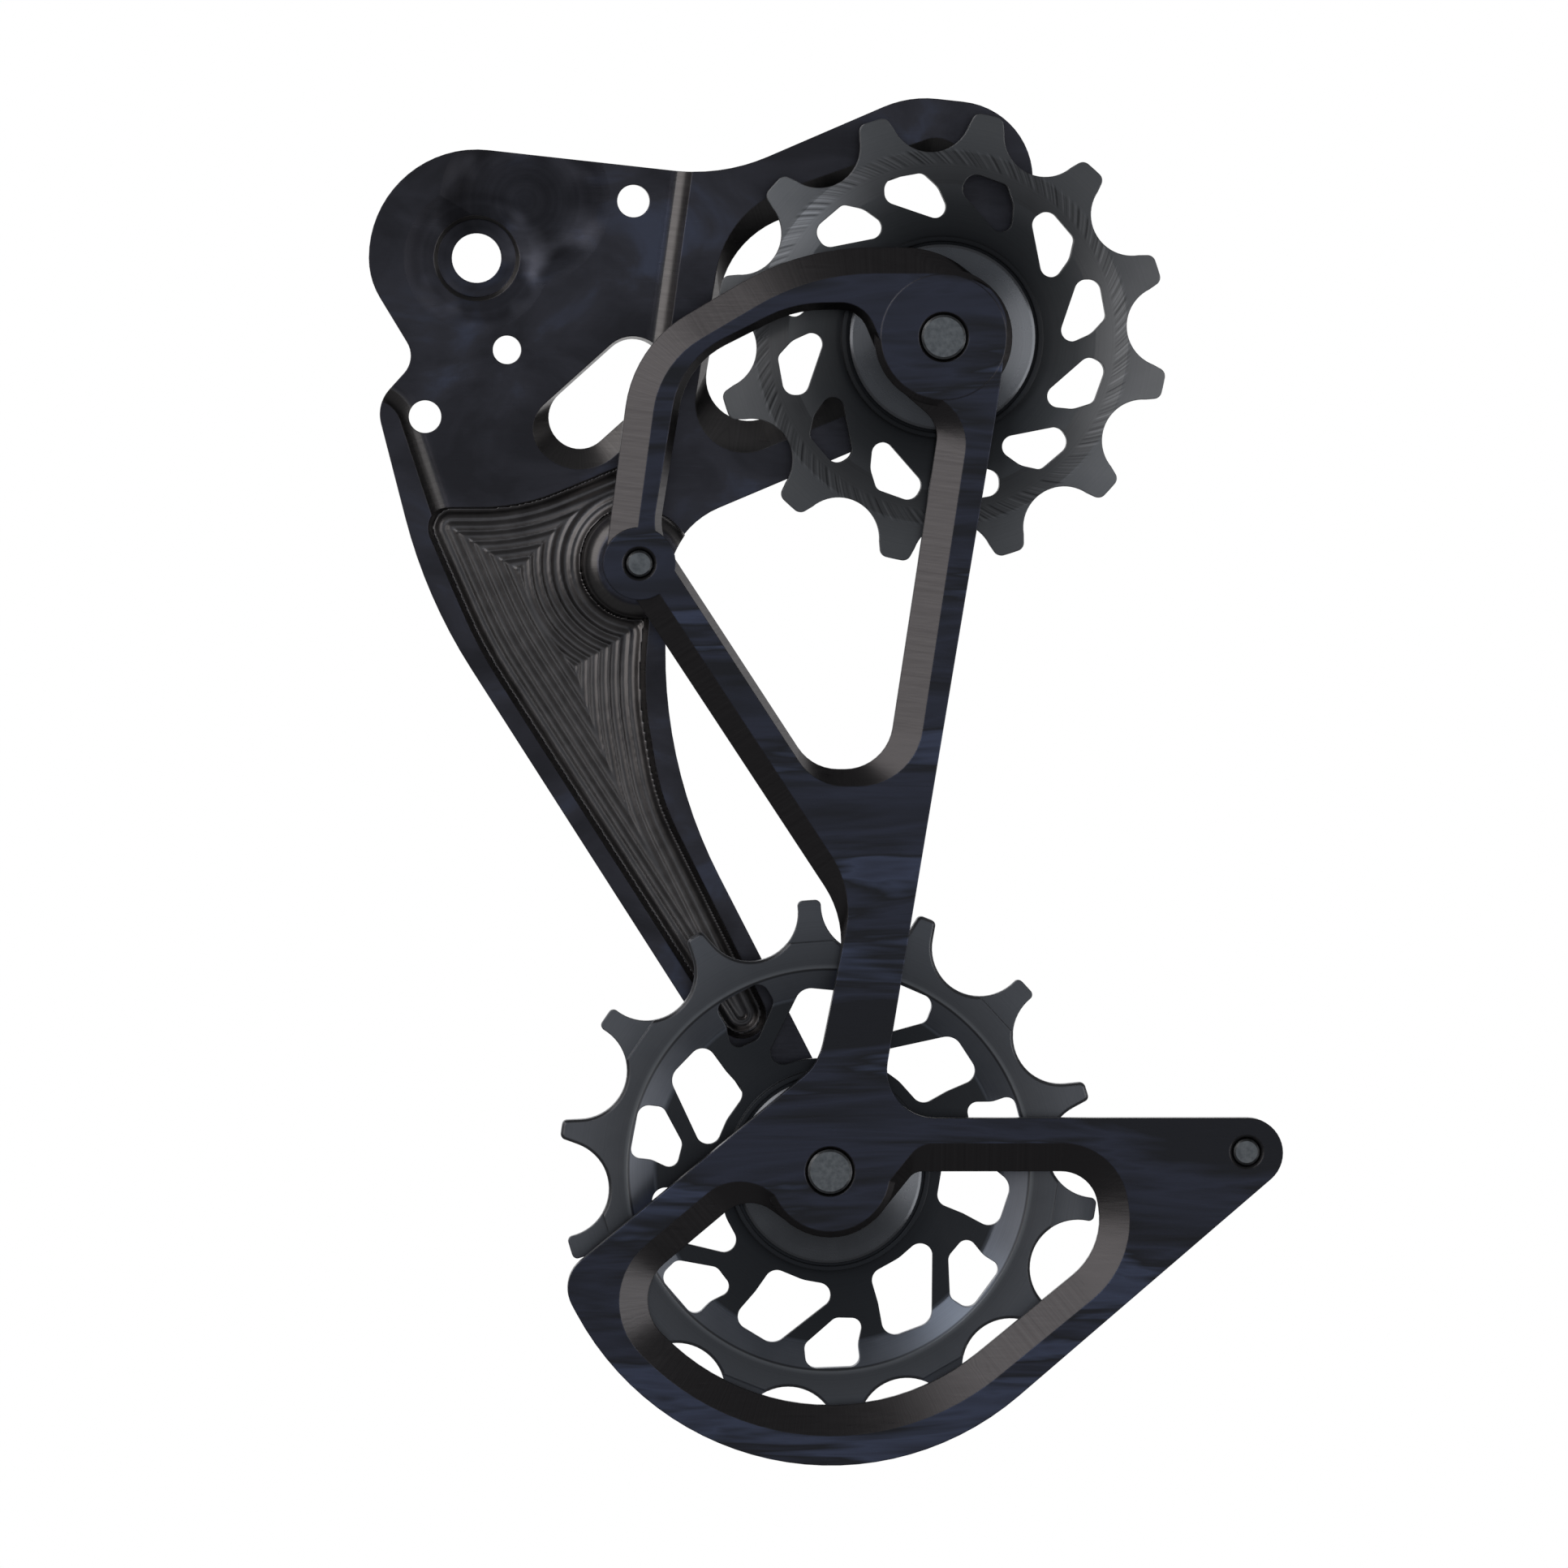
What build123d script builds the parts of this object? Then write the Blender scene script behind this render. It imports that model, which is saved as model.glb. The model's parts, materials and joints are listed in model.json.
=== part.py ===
from build123d import *
import math
import os

# Pulley cage of a long-cage rear derailleur: two machined plates with an upper and a lower
# chain pulley between them, each on its own ball bearing.
# Frame: origin at the centre of the cage pivot bore on the outer plate's outboard face,
# +Z up, +Y outboard (away from the wheel), +X towards the upper pulley.
# Every outline is drawn in X and Z. A depth is a distance from the outboard face towards the
# wheel, so a depth of d is the plane y = -d.

# ---- driving dimensions, mm ----
OUTER_THICK = 5.0          # rims, arms and pulley hubs of the outer plate
LOBE_THICK = 3.4           # the pivot lobe, machined down inside the rims
POCKET_FLOOR = 2.2         # web left under the long pocket in the arm
CHAIN_GAP = 8.0            # clear width between the two plates
INNER_THICK = 3.3
UPPER_HUB_PROUD = 0.06     # the upper screw hub stands this much above the inner plate's face
BEVEL_DEPTH = 1.7          # depth of the wide bevels on both plates

INNER_BACK = OUTER_THICK + CHAIN_GAP
INNER_FACE = INNER_BACK + INNER_THICK
MIDPLANE = OUTER_THICK + CHAIN_GAP / 2

PIVOT = (0.0, 0.0)
UPPER_AXLE = (52.0, -8.9)
LOWER_AXLE = (39.3, -102.15)
BRIDGE = (18.0, -34.2)     # screw that ties the two plates together
POST = (85.9, -100.0)      # chain retention post at the tip of the lower guard

PIVOT_BORE_R = 2.78
COUNTERBORE_R = 4.4
COUNTERBORE_DEPTH = 0.9
PIN_HOLES = [((17.6, 6.4), 1.83), ((3.4, -10.3), 1.6), ((-5.8, -17.8), 1.83)]

M5_SHANK_R = 2.48
M5_HOLE_R = 2.53
M5_HEAD_R = 4.4
M5_HEAD_HEIGHT = 2.0
M3_SHANK_R = 1.47
M3_HOLE_R = 1.52
M3_CLEAR_R = 1.62
M3_HEAD_R = 2.7
M3_HEAD_HEIGHT = 1.6
HEAD_POCKET_DEPTH = 2.2
HEAD_POCKET_GAP = 0.15
POST_SLEEVE_R = 3.0
POST_GAP = 0.2             # post screw's head stands this far inside the outer plate's inner face

UPPER_HUB_R = 7.7
LOWER_HUB_R = 7.4
PIN_BOSS_R = 4.06
OUTER_UPPER_HUB_R = 8.0
OUTER_LOWER_HUB_R = 8.6
BRIDGE_BOSS_R = 6.1
BRIDGE_FOOT_SPREAD = 2.0   # concave fillet round the boss, on the pocket floor
BRIDGE_SHOULDER = 2.0      # rounded edge at the top of the boss

BEARING_WIDTH = 5.0
BEARING_BORE_R = 5.0
BEARING_OUTER_R = 9.5
BALL_CIRCLE_R = 7.25
BALL_R = 1.19
BALL_COUNT = 11
INNER_RING_R = 6.35
OUTER_RING_R = 8.2
RACE_R = BALL_R + 0.03
SEAL_THICK = 0.5
COVER_R = 10.4
COVER_RECESS_R = 10.75
HUB_RING_R = 11.3
HUB_RING_HALF = 3.2
CHAIN_PITCH = 12.7

# ---- outlines: (x, z, corner radius) ----
OUTER_OUTLINE = [
    (-12.1, 13.6, 12.1),
    (27.6, 9.2, 20.6),
    (48.5, 18.2, 11.9),
    (63.1, 16.6, 8.7),
    (60.8, -9.2, 8.7),
    (51.4, -17.8, 8.0),
    (21.3, -30.5, 9.6),
    (21.0, -57.3, 54.7),
    (43.8, -101.8, 5.5),
    (38.25, -106.95, 5.5),
    (-5.7, -38.2, 58.3),
    (-11.3, -16.4, 4.1),
    (-6.7, -11.3, 2.9),
    (-12.1, -2.4, 8.6),
]
OUTER_WINDOW = [
    (28.3, 2.3, 10.9),
    (54.3, 11.5, 2.7),
    (52.3, -9.7, 0.3),
    (24.4, -21.2, 4.8),
]
OUTER_WINDOW_BEVELS = [3.0, 0.6, 3.2, 0.8]
LOBE_FLOOR = [
    (-25.0, 25.0, 3.2),
    (26.6, 25.0, 3.2),
    (18.9, -31.5, 3.2),
    (-4.6, -31.5, 3.2),
    (-9.5, -16.7, 3.2),
    (-25.0, -12.4, 3.2),
]
LOBE_CORNER_R = 3.0
DISHES = [((0.0, 0.0), 8.2, 0.55), ((5.4, 6.4), 9.6, 0.6)]   # centre, radius, depth
POCKET = [
    (-6.9, -27.6, 2.7),
    (4.8, -27.6, 22.8),
    (19.3, -21.6, 2.7),
    (19.3, -41.1, 3.5),
    (18.6, -48.4, 36.5),
    (20.7, -60.7, 27.3),
    (34.1, -87.6, 2.7),
    (28.2, -87.6, 2.7),
    (0.2, -43.9, 54.7),
]
POCKET_CORNER_R = 2.5
BEAN_CENTRES = [(11.6, -17.9), (17.5, -12.6)]
BEAN_R = 3.5
# bevels of the slot's lower left end, upper left side, upper right end and lower right side
BEAN_BEVELS = [2.3, 0.3, 0.3, 2.3]

INNER_OUTLINE = [
    (17.4, -9.9, 14.0),
    (36.1, 1.1, 28.9),
    (51.5, 1.1, 10.8),
    (59.5, -5.3, 6.3),
    (57.8, -17.9, 27.1),
    (44.7, -96.2, 5.4),
    (96.6, -96.2, 3.9),
    (30.0, -153.4, 32.3),
    (8.9, -114.2, 4.0),
    (38.1, -90.1, 6.3),
    (41.3, -74.2, 11.3),
    (14.3, -33.1, 3.3),
]
# space outside the arch and outside the diagonal strut, with the bevel on each shared edge
ARCH_OUTSIDE = [
    (12.6, -46.0, 0.3),
    (17.4, -9.9, 14.0),
    (36.1, 1.1, 28.9),
    (51.5, 1.1, 10.8),
    (67.3, -11.5, 0.3),
    (67.3, 30.0, 0.3),
    (-20.0, 30.0, 0.3),
    (-20.0, -46.0, 0.3),
]
ARCH_BEVELS = [3.1, 3.1, 2.9, 0.0, 0.0, 0.0, 0.0, 0.0]
STRUT_OUTSIDE = [
    (38.93, -86.0, 0.3),
    (41.3, -74.2, 11.3),
    (8.8, -24.7, 0.3),
    (-40.0, -24.7, 0.3),
    (-40.0, -86.0, 0.3),
]
STRUT_BEVELS = [0.0, 2.5, 0.0, 0.0, 0.0]
UPPER_WINDOW = [
    (20.2, -30.9, 6.3),
    (23.3, -12.0, 9.5),
    (35.4, -5.9, 13.5),
    (42.6, -5.8, 3.2),
    (45.9, -13.7, 5.4),
    (51.55, -18.6, 3.6),
    (45.65, -57.2, 5.4),
    (37.35, -57.2, 5.4),
]
UPPER_WINDOW_BEVELS = [0.8, 0.8, 0.8, 0.8, 2.2, 3.3, 1.9, 0.8]
LOWER_WINDOW = [
    (48.8, -102.2, 1.8),
    (68.8, -102.2, 4.2),
    (70.1, -110.9, 8.1),
    (37.3, -137.7, 26.1),
    (16.5, -116.1, 5.3),
    (30.2, -104.6, 4.1),
    (35.9, -108.8, 0.3),
    (39.3, -102.5, 0.3),
    (44.9, -107.0, 0.3),
]
LOWER_WINDOW_BEVELS = [3.2, 3.3, 3.4, 3.3, 3.0, 1.6, 0.0, 0.0, 1.6]

# ---- pulley profiles: angles in degrees from +X, turning towards +Z ----
# "mouths" are the half widths of a gap at the tip circle, beside even and odd teeth
UPPER_TOOTH = {
    "count": 12, "tip_r": 25.4, "root_r": 20.75, "seat_r": 4.6, "mouths": (5.4, 5.4), "tip_fillet": 0.95,
    "first_gap": 2.8, "blank_half": 1.9, "tooth_half": 1.15,
}
LOWER_TOOTH = {
    "count": 14, "tip_r": 30.25, "root_r": 24.66, "seat_r": 5.4, "mouths": (6.0, 5.35), "tip_fillet": 0.6,
    "first_gap": 4.15, "blank_half": 1.75, "tooth_half": 1.75,
}
UPPER_CONE = (17.2, 20.9)       # face falls from the web to the teeth between these radii
LOWER_CONE = (19.6, 22.6)       # face rises from the web to the rim between these radii
LOWER_WEB_HALF = 0.9
NARROW_TOOTH_HALF = 1.05
NARROW_FROM_R = 25.6
FIRST_NARROW = 42.7
EDGE_CHAMFER = 0.28             # broken edge along the teeth and roller seats

# hole corners: (offset along the turning direction, radius, corner radius)
UPPER_HOLE = [
    (3.25, 18.5, 1.4),
    (3.6, 16.1, 1.3),
    (-3.75, 12.0, 1.25),
    (-2.6, 16.6, 2.5),
    (-1.15, 18.5, 1.0),
]
SMALL_HOLE = [
    (-3.35, 22.2, 1.3),
    (-3.5, 19.5, 1.1),
    (0.1, 16.6, 1.2),
    (3.3, 16.8, 1.1),
    (2.55, 19.7, 2.5),
    (2.75, 22.2, 1.1),
]
BIG_HOLE = [
    (-2.3, 12.4, 1.4),
    (1.4, 12.6, 4.0),
    (5.1, 12.0, 1.4),
    (4.95, 14.1, 1.2),
    (0.75, 20.65, 1.8),
    (-4.75, 19.5, 1.5),
    (-3.2, 15.6, 4.0),
]
UPPER_HOLE_ANGLE = 10.3
SMALL_HOLE_ANGLE = 15.1
BIG_HOLE_ANGLE = 44.9


# ---- helpers ----
def face_of(corners, depth):
    """Flat face at one depth, from corners with their radii."""
    points = [(x, z) for x, z, radius in corners]
    radii = [radius for x, z, radius in corners]
    return Plane.XZ.offset(depth) * make_face(FilletPolyline(*points, radius=radii, close=True))


def slab(corners, start, end):
    """Prism of an outline between two depths."""
    return extrude(face_of(corners, start), amount=end - start, dir=(0, -1, 0))


def disc(centre, radius, start, end):
    """Round bar along Y between two depths."""
    section = Plane.XZ.offset(start) * Pos(centre[0], centre[1]) * Circle(radius)
    return extrude(section, amount=end - start, dir=(0, -1, 0))


def cone(centre, start_radius, end_radius, start, end):
    """Round cone along Y between two depths."""
    first = Plane.XZ.offset(start) * Pos(centre[0], centre[1]) * Circle(start_radius)
    last = Plane.XZ.offset(end) * Pos(centre[0], centre[1]) * Circle(end_radius)
    return loft([first.face(), last.face()])


def moved_edges(corners, distances):
    """Outline whose edge i, from corner i to the next, is moved outwards by distances[i]."""
    count = len(corners)
    area = sum(
        corners[i][0] * corners[(i + 1) % count][1] - corners[(i + 1) % count][0] * corners[i][1]
        for i in range(count)
    )
    side = 1 if area > 0 else -1
    lines = []
    for i in range(count):
        x0, z0, _ = corners[i]
        x1, z1, _ = corners[(i + 1) % count]
        length = math.hypot(x1 - x0, z1 - z0)
        along = ((x1 - x0) / length, (z1 - z0) / length)
        out = (side * along[1], -side * along[0])
        lines.append((x0 + out[0] * distances[i], z0 + out[1] * distances[i], along))
    moved = []
    for i in range(count):
        xa, za, a = lines[i - 1]
        xb, zb, b = lines[i]
        cross = a[0] * b[1] - a[1] * b[0]
        step = ((xb - xa) * b[1] - (zb - za) * b[0]) / cross
        turn = side * cross
        nearer = min(distances[i - 1], distances[i])
        radius = max(0.3, corners[i][2] + (nearer if turn > 0 else -nearer))
        moved.append((xa + a[0] * step, za + a[1] * step, radius))
    return moved


def bevelled_cut(corners, distances, face, depth):
    """Tool that widens an opening from its own outline to an outline moved outwards."""
    extra = 0.3
    reach = [d * (1 + extra / depth) for d in distances]
    narrow = face_of(corners, face - depth)
    wide = face_of(moved_edges(corners, reach), face + extra)
    return loft([narrow.face(), wide.face()], ruled=True)


def ring(centre, inner, outer, start, end):
    """Tube along Y between two depths."""
    return disc(centre, outer, start, end) - disc(centre, inner, start, end)


def placed(local, centre, angle):
    """Hole outline given as (sideways, radius) turned to an angle about a centre."""
    turn = math.radians(angle)
    radial = (math.cos(turn), math.sin(turn))
    sideways = (-math.sin(turn), math.cos(turn))
    corners = []
    for side, along, radius in local:
        x = centre[0] + radial[0] * along + sideways[0] * side
        z = centre[1] + radial[1] * along + sideways[1] * side
        corners.append((x, z, radius))
    return corners


def spun(points, centre):
    """Solid of revolution about a pulley axle, from (radius, depth) points."""
    profile = Plane.XY * make_face(Polyline(*[(r, -d) for r, d in points], close=True))
    solid = revolve(profile, axis=Axis.Y)
    return Pos(centre[0], 0, centre[1]) * solid


# ---- plates ----
def dish(centre, radius, depth):
    """Shallow spherical hollow in the pivot lobe."""
    ball_r = (radius ** 2 + depth ** 2) / (2 * depth)
    ball = Pos(centre[0], -(LOBE_THICK - depth + ball_r), centre[1]) * Sphere(ball_r)
    return ball & disc(centre, radius + 0.5, LOBE_THICK - depth - 0.1, LOBE_THICK + 0.2)


def make_bridge_boss():
    """Boss that carries the inner plate, with a concave foot and a rounded shoulder."""
    foot_r = BRIDGE_BOSS_R + BRIDGE_FOOT_SPREAD
    foot_top = POCKET_FLOOR + BRIDGE_FOOT_SPREAD
    side_top = INNER_BACK - BRIDGE_SHOULDER
    top_r = BRIDGE_BOSS_R - BRIDGE_SHOULDER
    centre_x, centre_z = BRIDGE
    with BuildSketch(Plane.XY) as section:
        with BuildLine():
            Polyline((0, -POCKET_FLOOR + 0.5), (foot_r, -POCKET_FLOOR + 0.5), (foot_r, -POCKET_FLOOR))
            RadiusArc((foot_r, -POCKET_FLOOR), (BRIDGE_BOSS_R, -foot_top), -BRIDGE_FOOT_SPREAD)
            Line((BRIDGE_BOSS_R, -foot_top), (BRIDGE_BOSS_R, -side_top))
            RadiusArc((BRIDGE_BOSS_R, -side_top), (top_r, -INNER_BACK), BRIDGE_SHOULDER)
            Polyline((top_r, -INNER_BACK), (0, -INNER_BACK), (0, -POCKET_FLOOR + 0.5))
        make_face()
    return Pos(centre_x, 0, centre_z) * revolve(section.sketch, axis=Axis.Y)


def bean_outline():
    """Slot with round ends, as four corners whose fillets almost meet."""
    (x0, z0), (x1, z1) = BEAN_CENTRES
    length = math.hypot(x1 - x0, z1 - z0)
    step_x = BEAN_R * (x1 - x0) / length
    step_z = BEAN_R * (z1 - z0) / length
    corner_r = BEAN_R - 0.05
    return [
        (x0 - step_x + step_z, z0 - step_z - step_x, corner_r),
        (x0 - step_x - step_z, z0 - step_z + step_x, corner_r),
        (x1 + step_x - step_z, z1 + step_z + step_x, corner_r),
        (x1 + step_x + step_z, z1 + step_z - step_x, corner_r),
    ]


def make_outer_plate():
    plate = slab(OUTER_OUTLINE, 0, OUTER_THICK)
    plate -= slab(OUTER_WINDOW, -1, OUTER_THICK + 1)
    plate -= bevelled_cut(OUTER_WINDOW, OUTER_WINDOW_BEVELS, OUTER_THICK, BEVEL_DEPTH)
    plate += disc(UPPER_AXLE, OUTER_UPPER_HUB_R, 0, OUTER_THICK)
    plate += disc(LOWER_AXLE, OUTER_LOWER_HUB_R, 0, OUTER_THICK)

    lobe_tool = slab(LOBE_FLOOR, LOBE_THICK, LOBE_THICK + LOBE_CORNER_R + 1)
    lobe_tool = fillet(lobe_tool.edges().group_by(Axis.Y)[-1], LOBE_CORNER_R)
    plate -= lobe_tool

    for centre, radius, depth in DISHES:
        plate -= dish(centre, radius, depth)
    pocket_tool = slab(POCKET, POCKET_FLOOR, POCKET_FLOOR + POCKET_CORNER_R + 1)
    pocket_tool = fillet(pocket_tool.edges().group_by(Axis.Y)[-1], POCKET_CORNER_R)
    plate -= pocket_tool

    plate += make_bridge_boss() & slab(OUTER_OUTLINE, 0, INNER_BACK)
    plate += disc(BRIDGE, PIN_BOSS_R, POCKET_FLOOR, INNER_BACK)

    bean = bean_outline()
    plate -= slab(bean, -1, OUTER_THICK + 1)
    plate -= bevelled_cut(bean, BEAN_BEVELS, LOBE_THICK, BEVEL_DEPTH)

    plate -= disc(PIVOT, PIVOT_BORE_R, -1, OUTER_THICK)
    plate -= disc(PIVOT, COUNTERBORE_R, LOBE_THICK - COUNTERBORE_DEPTH, OUTER_THICK)
    plate -= cone(PIVOT, COUNTERBORE_R, COUNTERBORE_R + 1.2, LOBE_THICK - 0.8, LOBE_THICK + 0.4)
    for centre, radius in PIN_HOLES:
        plate -= disc(centre, radius, -1, OUTER_THICK + 1)

    for axle in (UPPER_AXLE, LOWER_AXLE):
        plate -= disc(axle, M5_HOLE_R, -1, OUTER_THICK + 1)
        plate -= disc(axle, M5_HEAD_R + HEAD_POCKET_GAP, -1, HEAD_POCKET_DEPTH)
    plate -= disc(BRIDGE, M3_CLEAR_R, -1, INNER_BACK + 1)
    plate -= disc(BRIDGE, M3_HEAD_R + HEAD_POCKET_GAP, -1, M3_HEAD_HEIGHT + 0.2)
    return plate


def make_inner_plate():
    plate = slab(INNER_OUTLINE, INNER_BACK, INNER_FACE)
    plate -= bevelled_cut(ARCH_OUTSIDE, ARCH_BEVELS, INNER_FACE, BEVEL_DEPTH)
    plate -= bevelled_cut(STRUT_OUTSIDE, STRUT_BEVELS, INNER_FACE, BEVEL_DEPTH)
    for window, bevels in ((UPPER_WINDOW, UPPER_WINDOW_BEVELS), (LOWER_WINDOW, LOWER_WINDOW_BEVELS)):
        plate -= slab(window, INNER_BACK - 1, INNER_FACE + 1)
        plate -= bevelled_cut(window, bevels, INNER_FACE, BEVEL_DEPTH)
    hubs = (
        (UPPER_AXLE, UPPER_HUB_R, INNER_FACE + UPPER_HUB_PROUD),
        (LOWER_AXLE, LOWER_HUB_R, INNER_FACE),
    )
    for centre, radius, hub_face in hubs:
        plate += disc(centre, radius, INNER_BACK, hub_face - 0.7)
        plate += cone(centre, radius, radius - 0.7, hub_face - 0.7, hub_face)
        plate -= disc(centre, M5_HOLE_R, INNER_BACK - 1, hub_face + 1)
        plate -= cone(centre, M5_HOLE_R, M5_HOLE_R + 0.4, hub_face - 0.3, hub_face + 0.1)
    plate += disc(BRIDGE, PIN_BOSS_R, INNER_BACK, INNER_FACE)
    for centre in (BRIDGE, POST):
        plate -= disc(centre, M3_HOLE_R, INNER_BACK - 1, INNER_FACE + 1)
        plate -= cone(centre, M3_HOLE_R, M3_HOLE_R + 0.5, INNER_FACE - 0.4, INNER_FACE + 0.1)
    return plate


# ---- pulleys ----
def tooth_gap(tooth, low_mouth, high_mouth):
    """Space between two teeth about +X: a roller seat that opens out to a mouth on each side."""
    seat_centre = tooth["root_r"] + tooth["seat_r"]
    flank_drop = 0.4 * tooth["seat_r"]
    flank_r = seat_centre - flank_drop
    flank_half = math.sqrt(tooth["seat_r"] ** 2 - flank_drop ** 2)
    rise = tooth["tip_r"] - flank_r
    beyond = 2.0
    low = low_mouth + beyond * (low_mouth - flank_half) / rise
    high = high_mouth + beyond * (high_mouth - flank_half) / rise
    end_r = tooth["tip_r"] + beyond
    gap = make_face(Polyline(
        (flank_r, -flank_half), (end_r, -low), (end_r, high), (flank_r, flank_half), close=True,
    ))
    return gap + Pos(seat_centre, 0) * Circle(tooth["seat_r"])


def tooth_blank(centre, tooth, half):
    """Toothed disc: round chain roller seats joined to flat tips by straight flanks."""
    even_mouth, odd_mouth = tooth["mouths"]
    gaps = (tooth_gap(tooth, odd_mouth, even_mouth), tooth_gap(tooth, even_mouth, odd_mouth))
    outline = Circle(tooth["tip_r"])
    for i in range(tooth["count"]):
        outline -= Rot(0, 0, tooth["first_gap"] + i * 360 / tooth["count"]) * gaps[i % 2]
    tips = outline.vertices().filter_by(lambda v: math.hypot(v.X, v.Y) > tooth["tip_r"] - 0.05)
    outline = fillet(tips, tooth["tip_fillet"])
    section = Plane.XZ.offset(MIDPLANE - half) * Pos(centre[0], centre[1]) * outline
    blank = extrude(section, amount=2 * half, dir=(0, -1, 0))
    rims = blank.edges().group_by(Axis.Y)
    return chamfer(rims[0] + rims[-1], EDGE_CHAMFER)


def both_faces(make_tool):
    """The same cutting tool on the inboard and the outboard face."""
    return make_tool(1) + make_tool(-1)


def make_upper_pulley():
    tooth = UPPER_TOOTH
    blank_half = tooth["blank_half"]
    tooth_half = tooth["tooth_half"]
    pulley = tooth_blank(UPPER_AXLE, tooth, blank_half)
    inner_r, outer_r = UPPER_CONE

    def face_relief(side):
        return spun([
            (inner_r, MIDPLANE + side * blank_half),
            (outer_r, MIDPLANE + side * tooth_half),
            (tooth["tip_r"] + 1, MIDPLANE + side * tooth_half),
            (tooth["tip_r"] + 1, MIDPLANE + side * (blank_half + 1)),
            (inner_r, MIDPLANE + side * (blank_half + 1)),
        ], UPPER_AXLE)

    pulley -= both_faces(face_relief)
    for i in range(12):
        hole = placed(UPPER_HOLE, UPPER_AXLE, UPPER_HOLE_ANGLE + 30 * i)
        pulley -= slab(hole, MIDPLANE - 4, MIDPLANE + 4)
    return with_bearing_seat(pulley, UPPER_AXLE)


def make_lower_pulley():
    tooth = LOWER_TOOTH
    rim_half = tooth["tooth_half"]
    pulley = tooth_blank(LOWER_AXLE, tooth, rim_half)
    inner_r, outer_r = LOWER_CONE

    def web_relief(side):
        return spun([
            (0, MIDPLANE + side * LOWER_WEB_HALF),
            (inner_r, MIDPLANE + side * LOWER_WEB_HALF),
            (outer_r, MIDPLANE + side * rim_half),
            (outer_r, MIDPLANE + side * (rim_half + 1)),
            (0, MIDPLANE + side * (rim_half + 1)),
        ], LOWER_AXLE)

    pulley -= both_faces(web_relief)
    sector = math.radians(360 / 14 / 2)
    far = tooth["tip_r"] + 3
    for i in range(7):
        angle = FIRST_NARROW + i * 360 / 7
        wedge = placed([
            (-NARROW_FROM_R * math.tan(sector), NARROW_FROM_R, 0.8),
            (-far * math.tan(sector), far, 0.3),
            (far * math.tan(sector), far, 0.3),
            (NARROW_FROM_R * math.tan(sector), NARROW_FROM_R, 0.8),
        ], LOWER_AXLE, angle)
        pulley -= slab(wedge, MIDPLANE + NARROW_TOOTH_HALF, MIDPLANE + 4)
        pulley -= slab(wedge, MIDPLANE - 4, MIDPLANE - NARROW_TOOTH_HALF)
        small = placed(SMALL_HOLE, LOWER_AXLE, SMALL_HOLE_ANGLE + i * 360 / 7)
        big = placed(BIG_HOLE, LOWER_AXLE, BIG_HOLE_ANGLE + i * 360 / 7)
        pulley -= slab(small, MIDPLANE - 4, MIDPLANE + 4)
        pulley -= slab(big, MIDPLANE - 4, MIDPLANE + 4)
    return with_bearing_seat(pulley, LOWER_AXLE)


def with_bearing_seat(pulley, axle):
    """Hub ring, bearing bore and the shallow recesses that the covers run in."""
    pulley += disc(axle, HUB_RING_R, MIDPLANE - HUB_RING_HALF, MIDPLANE + HUB_RING_HALF)
    half = BEARING_WIDTH / 2
    pulley -= disc(axle, BEARING_OUTER_R, MIDPLANE - half - 3, MIDPLANE + half + 3)
    for start, end in ((MIDPLANE + half + 0.1, INNER_BACK), (OUTER_THICK, MIDPLANE - half - 0.1)):
        pulley -= disc(axle, COVER_RECESS_R, start, end)
    return pulley


# ---- bearings and axles ----
def make_inner_ring(axle):
    body = ring(axle, BEARING_BORE_R, INNER_RING_R, MIDPLANE - 2.5, MIDPLANE + 2.5)
    return body - Pos(axle[0], -MIDPLANE, axle[1]) * Rot(90, 0, 0) * Torus(BALL_CIRCLE_R, RACE_R)


def make_outer_ring(axle):
    body = ring(axle, OUTER_RING_R, BEARING_OUTER_R, MIDPLANE - 2.5, MIDPLANE + 2.5)
    return body - Pos(axle[0], -MIDPLANE, axle[1]) * Rot(90, 0, 0) * Torus(BALL_CIRCLE_R, RACE_R)


def ball_places(axle):
    """Centres of the balls on their pitch circle."""
    places = []
    for i in range(BALL_COUNT):
        turn = 2 * math.pi * i / BALL_COUNT
        x = axle[0] + BALL_CIRCLE_R * math.cos(turn)
        z = axle[1] + BALL_CIRCLE_R * math.sin(turn)
        places.append((x, -MIDPLANE, z))
    return places


def make_balls(axle):
    return Compound(children=[Pos(*place) * Sphere(BALL_R) for place in ball_places(axle)])


def make_retainer(axle):
    cage = ring(axle, BALL_CIRCLE_R - 0.5, BALL_CIRCLE_R + 0.5, MIDPLANE - 1.6, MIDPLANE + 1.6)
    for i, place in enumerate(ball_places(axle)):
        pocket = Rot(0, -360 * i / BALL_COUNT, 0) * Rot(0, 90, 0) * Cylinder(BALL_R + 0.08, 4)
        cage -= Pos(*place) * pocket
    return cage


def make_seal(axle, side):
    inner = INNER_RING_R + 0.1
    near = MIDPLANE + side * 1.9
    far = MIDPLANE + side * (1.9 + SEAL_THICK)
    return ring(axle, inner, OUTER_RING_R, min(near, far), max(near, far))


def make_cover(axle, side):
    """Dished cover: its hub clamps the bearing, its rim runs in the pulley's recess."""
    hub_near = MIDPLANE + side * 2.5
    hub_far = MIDPLANE + side * 4.0
    rim_near = MIDPLANE + side * 2.75
    rim_far = MIDPLANE + side * 3.25
    return spun([
        (M5_HOLE_R, hub_near), (5.9, hub_near), (5.9, rim_near), (COVER_R, rim_near),
        (COVER_R, rim_far), (COVER_R - 0.3, rim_far + side * 0.2), (7.0, hub_far),
        (M5_HOLE_R, hub_far),
    ], axle)


def make_bush(axle):
    return ring(axle, M5_HOLE_R, BEARING_BORE_R - 0.01, MIDPLANE - 2.5, MIDPLANE + 2.5)


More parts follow.
